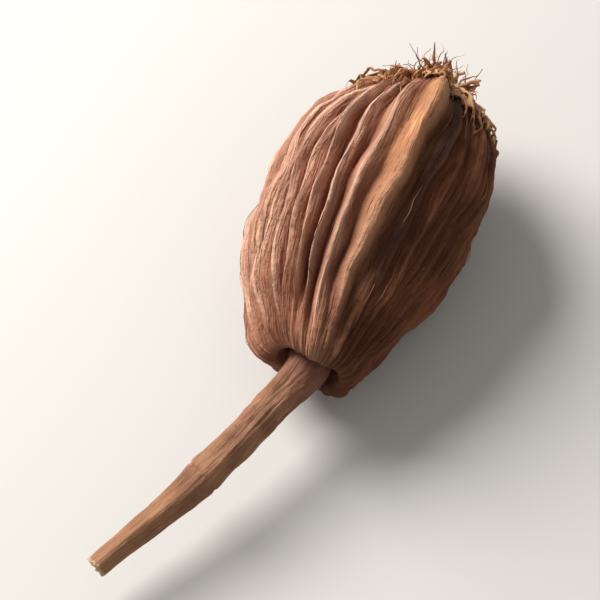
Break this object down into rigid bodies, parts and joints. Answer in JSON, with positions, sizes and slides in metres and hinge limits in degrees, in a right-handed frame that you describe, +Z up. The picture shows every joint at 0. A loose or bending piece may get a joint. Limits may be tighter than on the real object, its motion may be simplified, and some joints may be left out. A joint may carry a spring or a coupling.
{
  "type": "black cardamom pod",
  "caption": "Dried black cardamom pod lying on its side: a plump ribbed husk with its woody stalk at one end and a frayed dried flower at the other.",
  "frame": {"origin": "middle of the small flat spot on the underside of the husk, which the pod rests on", "axes": "+X along the pod from the stalk to the dried flower, +Z up from the surface it lies on, +Y towards the side that the stalk bends to"},
  "size_m": [0.0489, 0.0168, 0.0157],
  "materials": {
    "husk": "dry, dull, dark reddish-brown skin, paler and pinkish on the crests of its ribs",
    "stalk": "dry, wrinkled, light brown bark with a pale cut end",
    "dried_flower": "dry, dull, tan to reddish-brown fibres"
  },
  "bodies": {
    "root": {"husk": "husk", "stalk": "stalk", "dried_flower": "dried_flower"}
  },
  "joints": []
}
